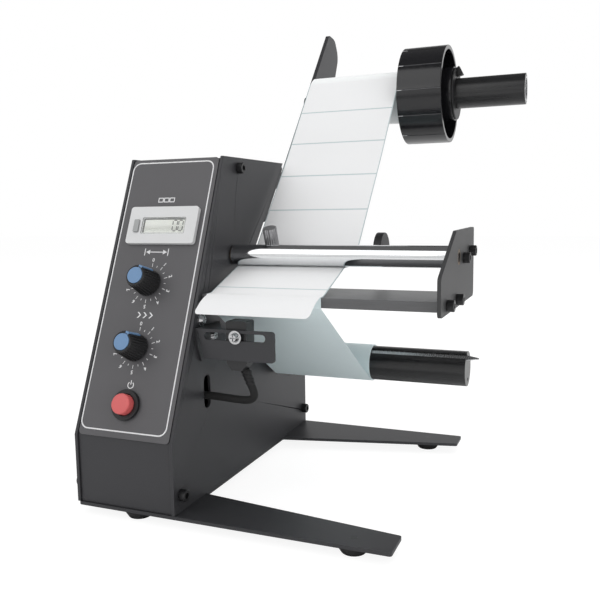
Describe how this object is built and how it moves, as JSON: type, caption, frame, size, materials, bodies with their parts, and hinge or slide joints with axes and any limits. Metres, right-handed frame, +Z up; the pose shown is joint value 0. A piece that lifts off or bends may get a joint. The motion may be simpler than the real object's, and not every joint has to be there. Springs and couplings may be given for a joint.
{
  "type": "label dispenser",
  "caption": "Bench label dispenser with a slanted control panel, label roll on a raised tube, peel plate, gap sensor and motor driven take-up drum.",
  "frame": {"origin": "under the middle of the part, on the surface that the feet stand on", "axes": "+X across the body towards the label path's outer end, +Y from the control panel to the label roll, +Z up"},
  "size_m": [0.2336, 0.285, 0.3209],
  "materials": {
    "black_powder_coat": "satin black powder coat with a fine texture",
    "printed_panel": "matt charcoal printed aluminium panel",
    "black_anodised": "black anodised, satin",
    "chrome_plate": "polished chrome",
    "bright_steel": "ground and bright",
    "black_screw_steel": "black oxide",
    "bronze": "sintered bronze",
    "gear_steel": "machined",
    "motor_case": "zinc plated",
    "gloss_black_plastic": "moulded, glossy",
    "matt_black_plastic": "moulded, fine texture",
    "grey_bezel": "pale grey moulded",
    "button_bezel": "black moulded",
    "display_glass": "clear window",
    "display_panel": "liquid crystal panel",
    "button_rubber": "pale grey moulded",
    "knob_cap_blue": "light blue moulded",
    "button_red": "red moulded",
    "spring_steel": "spring wire",
    "rubber_black": "black",
    "cable_jacket": "black cable jacket",
    "label_white": "coated white label paper",
    "liner_paper": "pale blue-green silicone paper",
    "core_board": "spiral wound board",
    "end_ring": "bright turned ring",
    "board_green": "circuit board laminate",
    "supply_case": "perforated case"
  },
  "bodies": {
    "root": {"base_plate": "black_powder_coat", "right_side_plate": "black_powder_coat", "left_side_plate": "black_powder_coat", "front_cover": "black_powder_coat", "rear_cover": "black_powder_coat", "rubber_feet": "rubber_black", "control_panel": "printed_panel", "counter_housing": "grey_bezel", "counter_window": "display_glass", "counter_display": "display_panel", "power_button_bezel": "button_bezel", "power_button_spring": "spring_steel", "power_switch": "matt_black_plastic", "end_plate": "black_powder_coat", "peel_plate": "black_anodised", "labels": "label_white", "label_web": "liner_paper", "dispensed_label": "label_white", "liner": "liner_paper", "drive_bracket": "bright_steel", "gear_motor": "motor_case", "support_arm": "black_powder_coat", "tube_end_cap": "end_ring", "sensor_bracket": "black_powder_coat", "sensor_cable": "cable_jacket", "power_supply": "supply_case", "socket_screws": "black_screw_steel", "pan_head_screws": "black_screw_steel", "bracket_screws": "black_screw_steel", "tie_rods": "bright_steel", "guide_rods": "bright_steel", "shaft_bushes": "bronze", "circuit_board": "board_green", "power_inlet": "matt_black_plastic", "potentiometers": "matt_black_plastic", "supply_tube": "black_anodised"},
    "counter_reset": {"counter_reset_button": "button_rubber"},
    "length_dial": {"length_knob": "matt_black_plastic", "length_knob_cap": "knob_cap_blue"},
    "speed_dial": {"speed_knob": "matt_black_plastic", "speed_knob_cap": "knob_cap_blue"},
    "power_button": {"power_button_cap": "button_red"},
    "roller": {"chrome_roller": "chrome_plate"},
    "edge_guide": {"guide_ring": "matt_black_plastic"},
    "web_lock": {"lock_collar": "black_anodised"},
    "lock_screw": {"thumb_screw": "black_screw_steel"},
    "drum": {"takeup_drum": "black_anodised", "wound_liner": "liner_paper", "drum_gear": "gear_steel", "drum_shaft": "bright_steel"},
    "clip": {"liner_clip": "bright_steel"},
    "pinion": {"motor_pinion": "gear_steel"},
    "label_supply": {"label_core": "core_board", "label_roll": "label_white"},
    "hub_slider": {"hub_bush": "matt_black_plastic", "hub_clip": "matt_black_plastic"},
    "wide_core_hub": {"core_hub": "gloss_black_plastic"},
    "sensor": {"gap_sensor": "matt_black_plastic", "sensor_screw": "bright_steel", "sensor_strain_relief": "rubber_black"}
  },
  "joints": [
    {"name": "reset_press", "type": "slide", "parent": "root", "child": "counter_reset", "axis": [0, 0.9191, -0.3939], "range_m": [0, 0.001], "stiffness_N_per_m": 400},
    {"name": "length_turn", "type": "hinge", "parent": "root", "child": "length_dial", "pos_m": [-0.08175, -0.10486, 0.13425], "axis": [0, -0.9191, 0.3939], "range_deg": [-227, 25]},
    {"name": "speed_turn", "type": "hinge", "parent": "root", "child": "speed_dial", "pos_m": [-0.08175, -0.12058, 0.09758], "axis": [0, -0.9191, 0.3939], "range_deg": [-227, 25]},
    {"name": "power_press", "type": "slide", "parent": "root", "child": "power_button", "axis": [0, 0.9191, -0.3939], "range_m": [0, 0.003], "stiffness_N_per_m": 500, "deforming": ["power_button_spring"]},
    {"name": "roller_spin", "type": "hinge", "parent": "root", "child": "roller", "pos_m": [0.02375, -0.06211, 0.149], "axis": [1, 0, 0], "continuous": true},
    {"name": "guide_slide", "type": "slide", "parent": "root", "child": "edge_guide", "axis": [1, 0, 0], "range_m": [-0.009, 0.048]},
    {"name": "collar_slide", "type": "slide", "parent": "root", "child": "web_lock", "axis": [1, 0, 0], "range_m": [-0.015, 0.11]},
    {"name": "thumb_turn", "type": "hinge", "parent": "web_lock", "child": "lock_screw", "pos_m": [-0.02475, -0.04741, 0.1477], "axis": [0, -0.342, 0.9397], "range_deg": [0, 180]},
    {"name": "drum_spin", "type": "hinge", "parent": "root", "child": "drum", "pos_m": [0.02375, -0.00192, 0.072], "axis": [1, 0, 0], "continuous": true},
    {"name": "pinion_spin", "type": "hinge", "parent": "root", "child": "pinion", "pos_m": [-0.05825, -0.03054, 0.0813], "axis": [1, 0, 0], "continuous": true},
    {"name": "clip_pull", "type": "slide", "parent": "drum", "child": "clip", "axis": [1, 0, 0], "range_m": [0, 0.06]},
    {"name": "supply_spin", "type": "hinge", "parent": "root", "child": "label_supply", "pos_m": [-0.00825, 0.08209, 0.26], "axis": [1, 0, 0], "continuous": true},
    {"name": "hub_slide", "type": "slide", "parent": "root", "child": "hub_slider", "axis": [1, 0, 0], "range_m": [-0.001, 0.048]},
    {"name": "hub_spin", "type": "hinge", "parent": "hub_slider", "child": "wide_core_hub", "pos_m": [0.04675, 0.08209, 0.26], "axis": [1, 0, 0], "continuous": true},
    {"name": "sensor_slide", "type": "slide", "parent": "root", "child": "sensor", "axis": [1, 0, 0], "range_m": [-0.001, 0.014], "deforming": ["sensor_cable"]}
  ],
  "couplings": [
    {"joint": "pinion_spin", "follows": "drum_spin", "ratio": -2}
  ]
}
